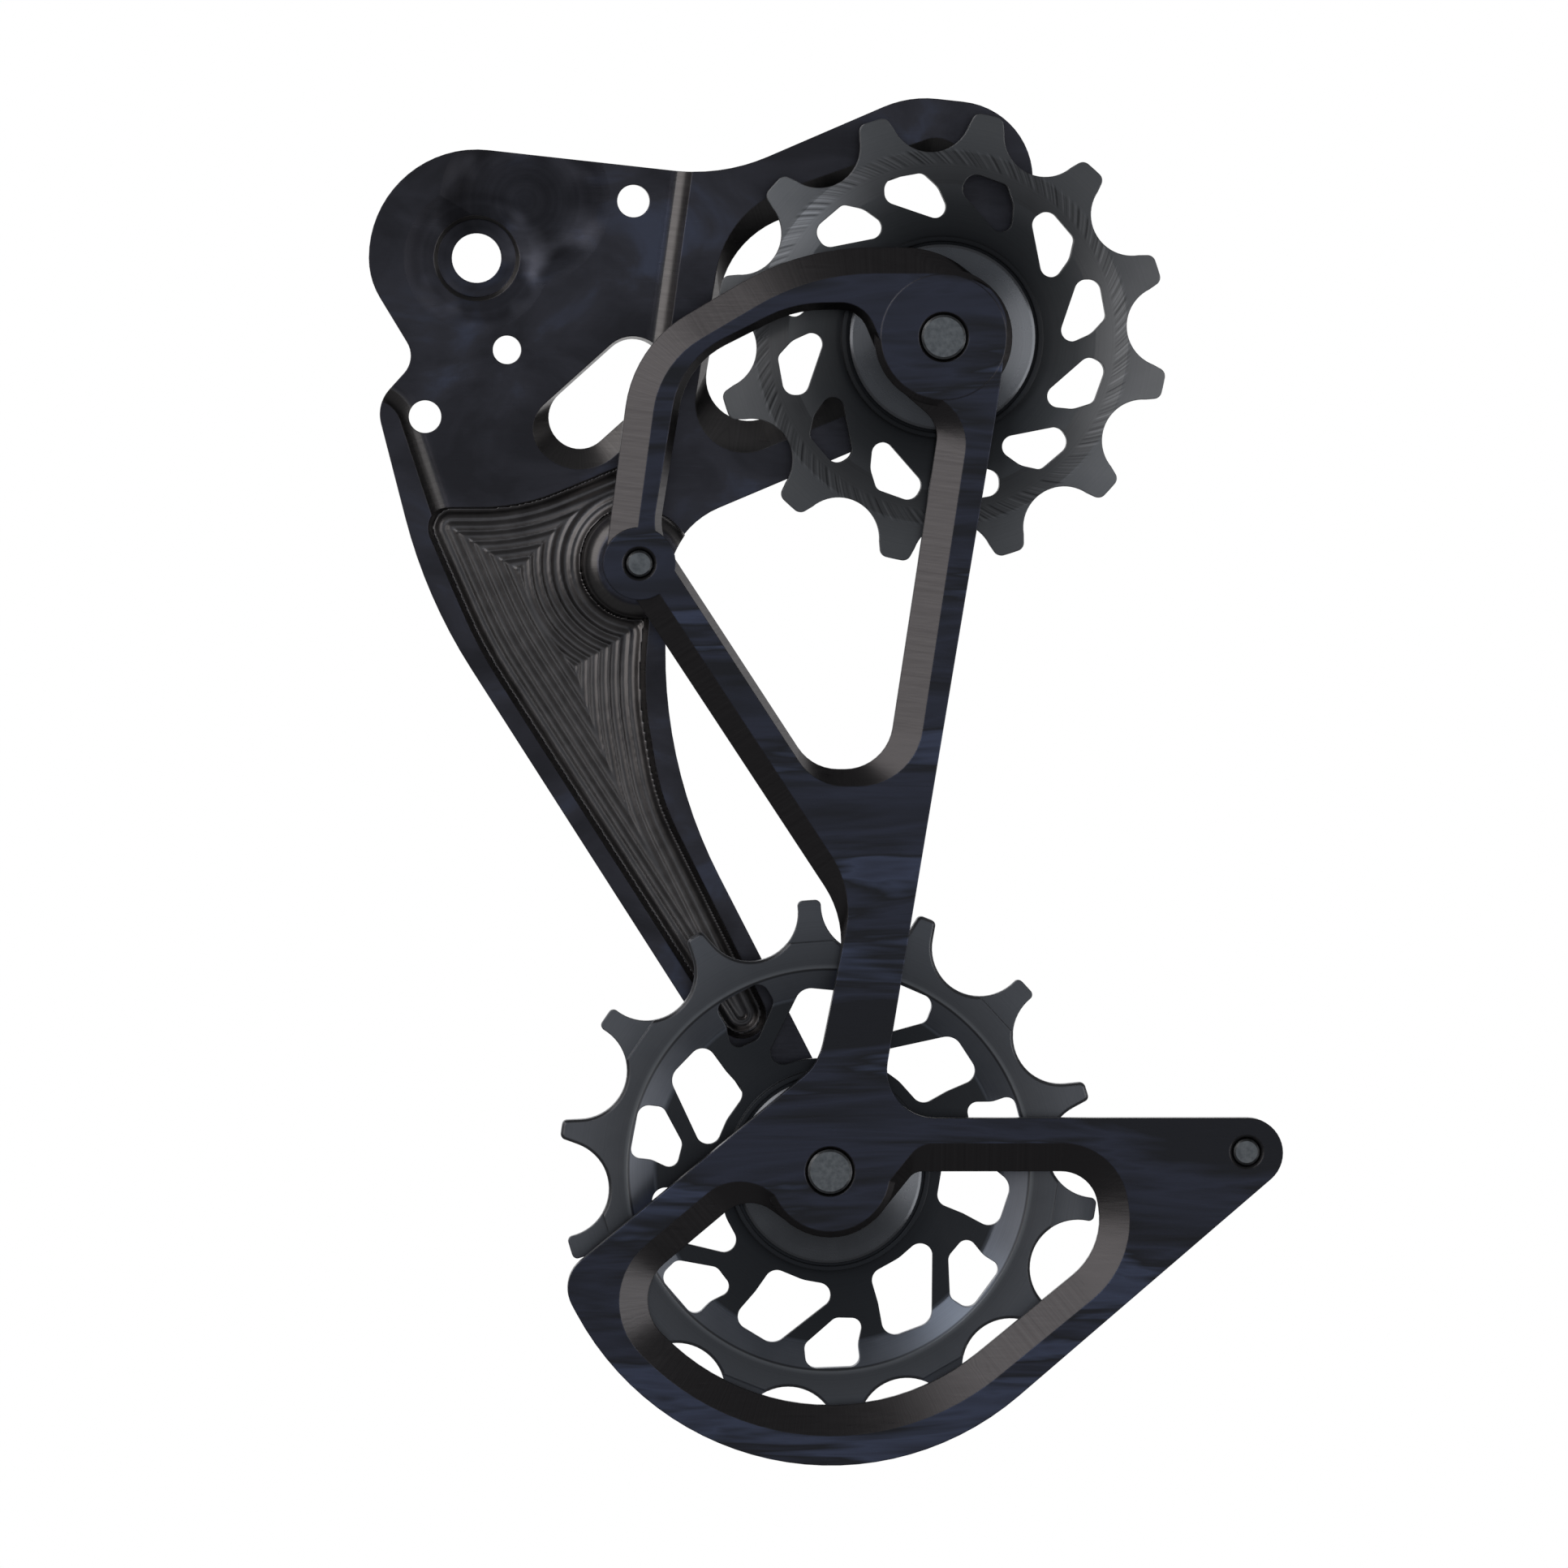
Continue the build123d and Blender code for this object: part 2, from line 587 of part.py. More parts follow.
def hex_socket(centre, across, start, end):
    """Six-sided key socket."""
    hexagon = RegularPolygon(across / 2, 6, major_radius=False)
    section = Plane.XZ.offset(start) * Pos(centre[0], centre[1]) * hexagon
    return extrude(section, amount=end - start, dir=(0, -1, 0))


def make_screw(centre, shank_r, head_r, head_start, head_height, tip, key):
    """Cap screw with its head outboard and a domed, chamfered tip in the inner plate."""
    chamfer_height = 0.25
    head_end = head_start + head_height
    body = disc(centre, head_r, head_start + 0.3, head_end)
    body += cone(centre, head_r - 0.3, head_r, head_start, head_start + 0.3)
    body += disc(centre, shank_r, head_end, tip - chamfer_height)
    body += cone(centre, shank_r, shank_r - chamfer_height, tip - chamfer_height, tip)
    return body - hex_socket(centre, key, head_start - 1, head_start + head_height * 0.6)


def make_pulley_screw(axle):
    start = HEAD_POCKET_DEPTH - M5_HEAD_HEIGHT
    return make_screw(axle, M5_SHANK_R, M5_HEAD_R, start, M5_HEAD_HEIGHT, INNER_FACE + 0.35, 4.0)


def make_post_sleeve():
    return ring(POST, M3_HOLE_R + 0.05, POST_SLEEVE_R, OUTER_THICK + POST_GAP, INNER_BACK)


def make_small_screw(centre, head_start):
    return make_screw(centre, M3_SHANK_R, M3_HEAD_R, head_start, M3_HEAD_HEIGHT, INNER_FACE + 0.05, 2.0)


# ---- write every piece ----
pieces = {
    "outer_plate": make_outer_plate(),
    "inner_plate": make_inner_plate(),
    "bridge_screw": make_small_screw(BRIDGE, 0.2),
    "post_screw": make_small_screw(POST, OUTER_THICK + POST_GAP - M3_HEAD_HEIGHT),
    "post_sleeve": make_post_sleeve(),
    "upper_pulley": make_upper_pulley(),
    "lower_pulley": make_lower_pulley(),
}
for name, axle in (("upper", UPPER_AXLE), ("lower", LOWER_AXLE)):
    pieces[name + "_pulley_screw"] = make_pulley_screw(axle)
    pieces[name + "_axle_bush"] = make_bush(axle)
    pieces[name + "_cover_inboard"] = make_cover(axle, 1)
    pieces[name + "_cover_outboard"] = make_cover(axle, -1)
    pieces[name + "_bearing_inner_ring"] = make_inner_ring(axle)
    pieces[name + "_bearing_outer_ring"] = make_outer_ring(axle)
    pieces[name + "_seal_inboard"] = make_seal(axle, 1)
    pieces[name + "_seal_outboard"] = make_seal(axle, -1)
    pieces[name + "_bearing_balls"] = make_balls(axle)
    pieces[name + "_bearing_retainer"] = make_retainer(axle)

os.makedirs("parts", exist_ok=True)
for name, shape in pieces.items():
    export_step(shape, "parts/" + name + ".step")
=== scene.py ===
import json
import math

import bmesh
import bpy
import numpy as np
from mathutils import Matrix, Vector
from mathutils.bvhtree import BVHTree


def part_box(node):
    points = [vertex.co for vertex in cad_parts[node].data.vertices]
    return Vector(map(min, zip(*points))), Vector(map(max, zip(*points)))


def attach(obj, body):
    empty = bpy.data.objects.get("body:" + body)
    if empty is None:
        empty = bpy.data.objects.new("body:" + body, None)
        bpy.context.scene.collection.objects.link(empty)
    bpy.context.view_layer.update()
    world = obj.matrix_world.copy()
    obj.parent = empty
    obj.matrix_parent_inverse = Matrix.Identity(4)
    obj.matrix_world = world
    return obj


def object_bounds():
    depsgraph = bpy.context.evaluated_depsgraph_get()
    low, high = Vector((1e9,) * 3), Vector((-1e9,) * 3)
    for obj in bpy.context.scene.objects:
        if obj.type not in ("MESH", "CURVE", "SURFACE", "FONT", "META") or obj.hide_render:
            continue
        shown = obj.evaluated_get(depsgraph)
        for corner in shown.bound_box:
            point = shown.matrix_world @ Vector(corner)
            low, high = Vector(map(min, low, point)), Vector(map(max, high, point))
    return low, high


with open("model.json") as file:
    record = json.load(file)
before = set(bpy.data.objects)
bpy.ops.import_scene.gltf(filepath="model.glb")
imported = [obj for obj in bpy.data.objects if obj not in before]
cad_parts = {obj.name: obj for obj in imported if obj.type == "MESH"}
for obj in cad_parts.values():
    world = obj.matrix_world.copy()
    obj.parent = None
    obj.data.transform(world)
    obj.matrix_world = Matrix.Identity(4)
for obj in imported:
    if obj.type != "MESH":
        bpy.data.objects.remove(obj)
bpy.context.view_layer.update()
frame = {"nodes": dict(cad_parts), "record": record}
nodes = frame["nodes"]
MM = 0.001
EDGE_WEAR = 0.18 * MM      # radius over which a sharp edge catches the light

# ---- the view: nearly square to the inner plate, a little to its left and above ----
# The camera and the panels aim at this point, near the middle of the part's inboard side.
CENTRE = Vector((34.16 * MM, -16.0 * MM, -58.83 * MM))
CAMERA_DISTANCE = 2.4
CAMERA_LENS = 493.2
SENSOR_WIDTH = 36.0
CAMERA_AZIMUTH = math.radians(-1.5)
CAMERA_ELEVATION = math.radians(1.0)


# ---- node graph helpers ----
def new_material(name):
    """Empty material with a Principled shader; returns the material, its tree and the shader."""
    material = bpy.data.materials.new(name)
    material.use_nodes = True
    tree = material.node_tree
    shader = tree.nodes["Principled BSDF"]
    return material, tree, shader


def coords(tree, scale=(1.0, 1.0, 1.0)):
    """Object coordinates in metres, times a scale."""
    where = tree.nodes.new("ShaderNodeTexCoord")
    mapping = tree.nodes.new("ShaderNodeMapping")
    mapping.inputs["Scale"].default_value = scale
    tree.links.new(where.outputs["Object"], mapping.inputs["Vector"])
    return mapping.outputs["Vector"]


def noise(tree, vector, scale, detail=3.0, rough=0.5, distortion=0.0):
    """Noise value at a scale."""
    node = tree.nodes.new("ShaderNodeTexNoise")
    node.inputs["Scale"].default_value = scale
    node.inputs["Detail"].default_value = detail
    node.inputs["Roughness"].default_value = rough
    node.inputs["Distortion"].default_value = distortion
    tree.links.new(vector, node.inputs["Vector"])
    return node.outputs["Fac"]


def ramp(tree, value, stops):
    """Colour ramp from (position, colour) stops."""
    node = tree.nodes.new("ShaderNodeValToRGB")
    elements = node.color_ramp.elements
    while len(elements) < len(stops):
        elements.new(0.5)
    for element, (position, colour) in zip(elements, stops):
        element.position = position
        element.color = (*colour, 1.0)
    tree.links.new(value, node.inputs["Fac"])
    return node.outputs["Color"]


def spread(tree, value, low, high):
    """Value from 0..1 stretched to low..high."""
    node = tree.nodes.new("ShaderNodeMapRange")
    node.inputs["To Min"].default_value = low
    node.inputs["To Max"].default_value = high
    tree.links.new(value, node.inputs["Value"])
    return node.outputs["Result"]


def mix(tree, factor, first, second):
    """Colour mix of two linked colours by a linked factor."""
    node = tree.nodes.new("ShaderNodeMix")
    node.data_type = "RGBA"
    tree.links.new(factor, node.inputs[0])
    tree.links.new(first, node.inputs[6])
    tree.links.new(second, node.inputs[7])
    return node.outputs[2]


def bump(tree, height, distance, strength, below=None):
    """Bump from a height, on top of another bump where one is given."""
    node = tree.nodes.new("ShaderNodeBump")
    node.inputs["Distance"].default_value = distance
    node.inputs["Strength"].default_value = strength
    tree.links.new(height, node.inputs["Height"])
    if below is not None:
        tree.links.new(below, node.inputs["Normal"])
    return node.outputs["Normal"]


def maths(tree, operation, first, second=0.0):
    """Scalar sum, product and so on; each input is a socket or a number."""
    node = tree.nodes.new("ShaderNodeMath")
    node.operation = operation
    for socket, value in zip(node.inputs, (first, second)):
        if isinstance(value, (int, float)):
            socket.default_value = value
        else:
            tree.links.new(value, socket)
    return node.outputs[0]


def vectors(tree, operation, first, second=(0.0, 0.0, 0.0)):
    """Vector sum, product and so on; each input is a socket or three numbers."""
    node = tree.nodes.new("ShaderNodeVectorMath")
    node.operation = operation
    for socket, value in zip(node.inputs, (first, second)):
        if isinstance(value, tuple):
            socket.default_value = value
        else:
            tree.links.new(value, socket)
    return node.outputs["Value"] if operation in ("DOT_PRODUCT", "LENGTH") else node.outputs["Vector"]


def joined(tree, x, y=0.0, z=0.0):
    """Vector from three values; each is a socket or a number."""
    node = tree.nodes.new("ShaderNodeCombineXYZ")
    for socket, value in zip(node.inputs, (x, y, z)):
        if isinstance(value, (int, float)):
            socket.default_value = value
        else:
            tree.links.new(value, socket)
    return node.outputs[0]


def scaled(tree, colour, factor):
    """Colour times a brightness."""
    node = tree.nodes.new("ShaderNodeVectorMath")
    node.operation = "SCALE"
    tree.links.new(colour, node.inputs[0])
    tree.links.new(factor, node.inputs["Scale"])
    return node.outputs["Vector"]


def opposite(tree, value):
    """One minus a value."""
    return maths(tree, "SUBTRACT", 1.0, value)


def lines(tree, value, scale, detail=2.0, rough=0.5):
    """Noise that varies along one value only, such as a radius."""
    return noise(tree, joined(tree, maths(tree, "MULTIPLY", value, scale)), 1.0, detail, rough)


def worn_edges(tree, radius):
    """Normal that rounds sharp edges over a small radius, so that they catch the light."""
    node = tree.nodes.new("ShaderNodeBevel")
    node.samples = 4
    node.inputs["Radius"].default_value = radius
    return node.outputs["Normal"]


def between(tree, value, low, high):
    """0 below low, 1 above high, smooth in between."""
    node = tree.nodes.new("ShaderNodeMapRange")
    node.interpolation_type = "SMOOTHSTEP"
    node.inputs["From Min"].default_value = low
    node.inputs["From Max"].default_value = high
    tree.links.new(value, node.inputs["Value"])
    return node.outputs["Result"]


def facing(tree, low, high):
    """1 where the surface lies square to the axles, 0 on bevels and walls."""
    where = tree.nodes.new("ShaderNodeTexCoord")
    split = tree.nodes.new("ShaderNodeSeparateXYZ")
    tree.links.new(where.outputs["Normal"], split.inputs[0])
    return between(tree, maths(tree, "ABSOLUTE", split.outputs["Y"]), low, high)


def cutter_marks(tree, pitch):
    """Fine lines that run across a bevel, and fan out round its corners."""
    where = tree.nodes.new("ShaderNodeTexCoord")
    along = vectors(tree, "CROSS_PRODUCT", where.outputs["Normal"], (0.0, 1.0, 0.0))
    along = vectors(tree, "NORMALIZE", along)
    place = vectors(tree, "DOT_PRODUCT", where.outputs["Object"], along)
    return lines(tree, place, 1.0 / pitch, 3.0, 0.7)


def polar(tree, size):
    """Angle in radians and distance in metres from the middle of a round part of known box size."""
    where = tree.nodes.new("ShaderNodeTexCoord")
    middle = vectors(tree, "SUBTRACT", where.outputs["Generated"], (0.5, 0.5, 0.5))
    local = vectors(tree, "MULTIPLY", middle, (size[0], 0.0, size[2]))
    split = tree.nodes.new("ShaderNodeSeparateXYZ")
    tree.links.new(local, split.inputs[0])
    angle = maths(tree, "ARCTAN2", split.outputs["Z"], split.outputs["X"])
    return angle, vectors(tree, "LENGTH", local)


# ---- materials ----
DISH_EDGE = (-1.6 * MM, 0.4 * MM)         # the cutter marks, the painted shade and the painted highlight fade out between these distances from the rim
PAINTED_DISH_HIGHLIGHT = (-6.0 * MM, -1.2 * MM)       # the painted highlight inside the dish's rim rises between these
INBOARD_DEPTH = (0.5 * MM, 1.0 * MM)      # deeper than this is the inboard side of the plate


def dish_marks_and_painted_light(tree, centre, reach):
    """Brightness over a shallow dish: the cutter's round marks plus a painted highlight inside its rim;
    and 0..1 inside the dish.
    """
    where = tree.nodes.new("ShaderNodeTexCoord")
    local = vectors(tree, "SUBTRACT", where.outputs["Object"], (centre[0], 0.0, centre[1]))
    radius = vectors(tree, "LENGTH", vectors(tree, "MULTIPLY", local, (1.0, 0.0, 1.0)))
    rings = lines(tree, radius, 0.9 / MM)
    inside = opposite(tree, between(tree, radius, reach + DISH_EDGE[0], reach + DISH_EDGE[1]))
    depth = vectors(tree, "DOT_PRODUCT", where.outputs["Object"], (0.0, -1.0, 0.0))
    inside = maths(tree, "MULTIPLY", inside, between(tree, depth, *INBOARD_DEPTH))
    cloud = between(tree, noise(tree, where.outputs["Object"], 0.19 / MM, 1.0), 0.42, 0.66)
    # Painted highlight: a clouded brighter band just inside the dish's rim.
    painted_rim_highlight = between(tree, radius, reach + PAINTED_DISH_HIGHLIGHT[0], reach + PAINTED_DISH_HIGHLIGHT[1])
    painted_rim_highlight = maths(tree, "MULTIPLY", cloud, painted_rim_highlight)
    shade = maths(tree, "ADD", maths(tree, "MULTIPLY", rings, 0.6), maths(tree, "MULTIPLY", painted_rim_highlight, 1.3))
    return shade, inside


def anodised_plate(name, streak_scale, streak_stops, bevel_stops, roughness, dishes=()):
    """Black anodised plate: wavy blue streaks on the flats, plain cutter-marked metal on the bevels; each
    dish gets cutter rings, painted shade over the bowl and a painted highlight inside its rim.
    """
    material, tree, shader = new_material(name)
    shader.inputs["Metallic"].default_value = 1.0
    flat = facing(tree, 0.93, 0.985)
    bend = noise(tree, coords(tree), 0.04 / MM, 1.0)
    streak = noise(tree, coords(tree, streak_scale), 1.0, 4.0, 0.55, 0.6)
    flats = ramp(tree, streak, streak_stops)
    for centre, reach in dishes:
        shade, inside = dish_marks_and_painted_light(tree, centre, reach)
        # Inside a dish the flats are scaled by the dish's brightness plus 0.40, which paints shade over
        # the bowl and the highlight near its rim.
        flats = mix(tree, inside, flats, scaled(tree, flats, maths(tree, "ADD", shade, 0.40)))
    bevels = ramp(tree, cutter_marks(tree, 0.5 * MM), bevel_stops)
    tree.links.new(mix(tree, flat, bevels, flats), shader.inputs["Base Color"])
    brushed = noise(tree, coords(tree, BRUSHED_SCALE), 1.0, 2.0)
    tree.links.new(spread(tree, brushed, roughness - 0.07, roughness + 0.09), shader.inputs["Roughness"])
    grain = noise(tree, coords(tree), 7.0 / MM, 2.0)
    first = bump(tree, brushed, 0.02 * MM, 0.25, worn_edges(tree, EDGE_WEAR))
    second = bump(tree, maths(tree, "MULTIPLY", bend, flat), 0.6 * MM, 0.25, first)
    tree.links.new(bump(tree, grain, 0.01 * MM, 0.25, second), shader.inputs["Normal"])
    return material


def pocket_metal(name, stops, roughness):
    """Satin metal of the scalloped pocket, lightly clouded and grained."""
    material, tree, shader = new_material(name)
    shader.inputs["Metallic"].default_value = 1.0
    cloud = noise(tree, coords(tree), 0.5 / MM, 4.0)
    tree.links.new(ramp(tree, cloud, stops), shader.inputs["Base Color"])
    tree.links.new(spread(tree, cloud, roughness - 0.05, roughness + 0.07), shader.inputs["Roughness"])
    grain = noise(tree, coords(tree), 6.0 / MM, 2.0)
    tree.links.new(bump(tree, grain, 0.01 * MM, 0.3), shader.inputs["Normal"])
    return material


def hatching(tree, angle, radius, start, end, per_radian, lean):
    """Leaning milling marks in a ring between two radii, as a brightness about zero."""
    place = maths(tree, "MULTIPLY", angle, per_radian)
    place = maths(tree, "ADD", place, maths(tree, "MULTIPLY", radius, lean))
    marks = lines(tree, place, 1.0, 1.0)
    outer = opposite(tree, between(tree, radius, end - HATCH_FADE, end))
    inside = maths(tree, "MULTIPLY", between(tree, radius, start, start + HATCH_FADE), outer)
    return maths(tree, "MULTIPLY", maths(tree, "SUBTRACT", marks, 0.5), inside)


def turned(name, node, radial_stops, roughness, anisotropy, hatch=None):
    """Dark anodised metal turned about its axle: fine rings, a stretched highlight and milling marks."""
    material, tree, shader = new_material(name)
    shader.inputs["Metallic"].default_value = 1.0
    shader.inputs["Anisotropic"].default_value = anisotropy
    shader.inputs["Anisotropic Rotation"].default_value = 0.25
    tangent = tree.nodes.new("ShaderNodeTangent")
    tangent.direction_type = "RADIAL"
    tangent.axis = "Y"
    tree.links.new(tangent.outputs[0], shader.inputs["Tangent"])
    low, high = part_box(node)
    angle, radius = polar(tree, [b - a for a, b in zip(low, high)])
    share = maths(tree, "DIVIDE", radius, (high[0] - low[0]) / 2)
    # Base colour by radius; on the two pulleys these stops hold painted shade and painted highlights.
    base = ramp(tree, share, radial_stops)
    rings = lines(tree, radius, 5.2 / MM)
    blotch = noise(tree, coords(tree), 0.26 / MM, 4.0)
    tint = maths(tree, "ADD", maths(tree, "MULTIPLY", rings, 0.25), maths(tree, "MULTIPLY", blotch, 0.25))
    shade = maths(tree, "ADD", tint, 0.75)
    if hatch:
        marks = hatching(tree, angle, radius, *hatch)
        shade = maths(tree, "ADD", shade, maths(tree, "MULTIPLY", marks, 3.0))
    tree.links.new(scaled(tree, base, shade), shader.inputs["Base Color"])
    tree.links.new(spread(tree, blotch, roughness - 0.05, roughness + 0.07), shader.inputs["Roughness"])
    worn = worn_edges(tree, EDGE_WEAR)
    tree.links.new(bump(tree, rings, 0.006 * MM, 0.3, worn), shader.inputs["Normal"])
    return material


def steel(name, colour, roughness):
    """Plain bright metal with small stains."""
    material, tree, shader = new_material(name)
    shader.inputs["Metallic"].default_value = 1.0
    stain = noise(tree, coords(tree), 1.8 / MM, 4.0)
    darker = tuple(c * 0.6 for c in colour)
    tree.links.new(ramp(tree, stain, [(0.3, darker), (0.7, colour)]), shader.inputs["Base Color"])
    tree.links.new(spread(tree, stain, roughness - 0.08, roughness + 0.12), shader.inputs["Roughness"])
    tree.links.new(bump(tree, stain, 0.02 * MM, 0.3), shader.inputs["Normal"])
    return material


def rubber(name):
    """Moulded rubber seal lip."""
    material, tree, shader = new_material(name)
    grain = noise(tree, coords(tree), 5.0 / MM, 3.0)
    tree.links.new(ramp(tree, grain, RUBBER_SHADES), shader.inputs["Base Color"])
    tree.links.new(spread(tree, grain, 0.55, 0.75), shader.inputs["Roughness"])
    return material


# Each list of shades is a ramp of (position, colour) stops, along noise or from an axle outwards.
BLACK = (0.055, 0.055, 0.062)
INK = (0.085, 0.090, 0.125)
BLUE = (0.125, 0.142, 0.215)
STREAKS = [(0.36, BLACK), (0.48, INK), (0.56, BLACK), (0.62, BLUE), (0.70, INK)]
LOBE_STREAKS = [
    (0.36, (0.06, 0.058, 0.066)),
    (0.55, (0.09, 0.088, 0.104)),
    (0.68, (0.12, 0.13, 0.18)),
]
BEVEL_SHADES = [(0.3, (0.085, 0.080, 0.083)), (0.7, (0.120, 0.115, 0.118))]
# Outer plate's bevels: the cut-metal tone painted about 1.5 times brighter than the inner plate's, a
# painted highlight on its slot chamfer and step fillet.
OUTER_BEVEL_SHADES_PAINTED_BRIGHTER = [(0.3, (0.13, 0.125, 0.125)), (0.7, (0.18, 0.173, 0.173))]
POCKET_SHADES = [(0.3, (0.15, 0.143, 0.143)), (0.7, (0.21, 0.20, 0.20))]
RUBBER_SHADES = [(0.3, (0.012, 0.012, 0.012)), (0.7, (0.03, 0.03, 0.03))]
COVER_SHADES = [(0.5, (0.13, 0.135, 0.145)), (0.9, (0.23, 0.24, 0.26))]
# Upper pulley, by radius: painted shade darkens the web near the hub, and a painted highlight brightens
# the outer ring and teeth.
UPPER_PAINTED_SHADE_AND_HIGHLIGHT = [
    (0.40, (0.034, 0.035, 0.038)),
    (0.60, (0.085, 0.088, 0.092)),
    (0.80, (0.21, 0.212, 0.218)),
    (0.95, (0.26, 0.262, 0.268)),
]
# Lower pulley, by radius: the cone is painted bright and its outer edge carries painted highlight lines.
LOWER_PAINTED_SHADE_AND_HIGHLIGHT = [
    (0.35, (0.050, 0.052, 0.057)),     # web
    (0.64, (0.062, 0.064, 0.069)),
    (0.66, (0.20, 0.215, 0.25)),       # cone, painted brighter than the web as a painted highlight
    (0.742, (0.24, 0.255, 0.29)),
    (0.748, (0.05, 0.05, 0.055)),      # painted highlights: two bright lines with a dark gap where the cone meets the rim
    (0.754, (0.26, 0.265, 0.275)),
    (0.770, (0.14, 0.143, 0.152)),     # rim and teeth
    (0.95, (0.21, 0.215, 0.23)),
]
PLATE_STREAK_SCALE = (22.0, 22.0, 170.0)       # long streaks along X
LOBE_STREAK_SCALE = (70.0, 70.0, 110.0)
BRUSHED_SCALE = (350.0, 350.0, 5200.0)
DISHES = [((0.0, 0.0), 8.1 * MM), ((5.4 * MM, 6.4 * MM), 9.5 * MM)]     # centre (x, z) and radius
HATCH_FADE = 0.6 * MM
HATCH = (19.2 * MM, 21.4 * MM, 42.0, -2.1 / MM)    # start, end, marks per radian, lean per metre

outer_black = anodised_plate(
    "outer_plate_black", LOBE_STREAK_SCALE, LOBE_STREAKS, OUTER_BEVEL_SHADES_PAINTED_BRIGHTER, 0.30, DISHES
)
inner_black = anodised_plate("inner_plate_black", PLATE_STREAK_SCALE, STREAKS, BEVEL_SHADES, 0.30)
pocket_black = pocket_metal("pocket_black", POCKET_SHADES, 0.34)
upper_black = turned("upper_pulley_black", "upper_pulley", UPPER_PAINTED_SHADE_AND_HIGHLIGHT, 0.36, 0.8, HATCH)
lower_black = turned("lower_pulley_black", "lower_pulley", LOWER_PAINTED_SHADE_AND_HIGHLIGHT, 0.30, 0.6)

FINISH = {
    "outer_plate_anodised": outer_black,
    "inner_plate_anodised": inner_black,
    "pulley_anodised": upper_black,
    "cover_anodised": turned("cover_black", "upper_cover_inboard", COVER_SHADES, 0.26, 0.6),
    "screw_steel": steel("screw_steel", (0.33, 0.345, 0.355), 0.3),
    "axle_aluminium": steel("axle_aluminium", (0.6, 0.6, 0.62), 0.35),
    "bearing_steel": steel("bearing_steel", (0.6, 0.6, 0.6), 0.2),
    "retainer_brass": steel("retainer_brass", (0.6, 0.42, 0.18), 0.3),
    "seal_rubber": rubber("seal_rubber"),
}
for part in frame["record"]["subparts"]:
    name = part["node"]
    finish = lower_black if name == "lower_pulley" else FINISH[part["material_slot"]]
    mesh = nodes[name].data
    mesh.materials.clear()
    mesh.materials.append(finish)


# ---- the machined pocket: scallops left by a ball cutter, parallel to the pocket's walls ----
# Depths are measured from the outer plate's outboard face, so a depth of d is the plane y = -d.
POCKET_FLOOR = 2.2 * MM      # depth of the flat floor
POCKET_TOP = 3.3 * MM        # depth on the walls where the scallops end
FLOOR_SLACK = 0.05 * MM
RIDGE_PITCH = 1.12 * MM
RIDGE_HEIGHT = 0.22 * MM
RELIEF_STEP = 0.16 * MM      # grid
RELIEF_LIFT = 0.02 * MM      # the valleys of the skin stand this far above the metal
RELIEF_SINK = 0.3 * MM       # and reaches this far into it
RELIEF_BORDER = 0.25 * MM    # the ridges fade out over this depth below the top
BORDER_SINK = 0.06 * MM      # and dip this far into the wall at the very edge
WALL_REACH = 2.6 * MM        # how far out from the floor the wall's foot is looked for
STEEPEST = 0.6 * MM          # a grid cell that spans more depth than this is left out
RELIEF_MARGIN = 3.0 * MM     # the grid reaches this far past the floor
RAY_START = 0.1
NO_RELIEF = -1.0


def floor_edges():
    """Edges round the pocket's flat floor, as pairs of (x, z) points, read from the outer plate."""
    mesh = nodes["outer_plate"].data
    count = {}
    for face in mesh.polygons:
        level = face.normal.y < -0.999
        if not level or abs(face.center.y + POCKET_FLOOR) > 0.01 * MM:
            continue
        spots = [mesh.vertices[i].co for i in face.vertices]
        spots = [(round(p.x, 6), round(p.z, 6)) for p in spots]
        for first, second in zip(spots, spots[1:] + spots[:1]):
            key = (min(first, second), max(first, second))
            count[key] = count.get(key, 0) + 1
    return np.array([key for key, times in count.items() if times == 1])


def distance_inside(edges, x, zs):
    """Signed distance from the floor's edge for points in one column: positive on the floor."""
    start = edges[:, 0, :]
    run = edges[:, 1, :] - start
    offset = np.stack([np.full(len(zs), x), zs], 1)[:, None, :] - start[None, :, :]
    share = np.clip((offset * run).sum(2) / (run ** 2).sum(1), 0, 1)
    gap = offset - share[:, :, None] * run
    distance = np.sqrt((gap ** 2).sum(2)).min(1)
    spans = (start[:, 1][None, :] > zs[:, None]) != ((start + run)[:, 1][None, :] > zs[:, None])
    with np.errstate(divide="ignore", invalid="ignore"):
        crossing = start[:, 0] + (zs[:, None] - start[:, 1]) / run[:, 1] * run[:, 0]
    inside = (spans & (crossing > x)).sum(1) % 2 == 1
    return np.where(inside, distance, -distance)


def relief_depths(xs, zs, edges):
    """Depth of the pocket's own surface and of the scalloped skin over a grid."""
    plate = nodes["outer_plate"].data
    tree = BVHTree.FromPolygons([v.co for v in plate.vertices], [p.vertices for p in plate.polygons])
    ground = np.full((len(xs), len(zs)), NO_RELIEF)
    skin = np.full((len(xs), len(zs)), NO_RELIEF)
    for i, x in enumerate(xs):
        distance = distance_inside(edges, x, zs)
        for k in np.nonzero(distance > -WALL_REACH)[0]:
            spot = tree.ray_cast(Vector((x, -RAY_START, zs[k])), Vector((0, 1, 0)))[0]
            if spot is None or not POCKET_FLOOR - FLOOR_SLACK <= -spot.y <= POCKET_TOP:
                continue
            phase = (distance[k] / RIDGE_PITCH + 0.5) % 1.0
            rise = RIDGE_HEIGHT * (2 * phase - 1) ** 2 + RELIEF_LIFT
            border = (POCKET_TOP + spot.y) / RELIEF_BORDER
            if border < 1:
                rise = rise * border - BORDER_SINK * (1 - border)
            ground[i, k] = -spot.y
            skin[i, k] = -spot.y + rise
    return ground, skin


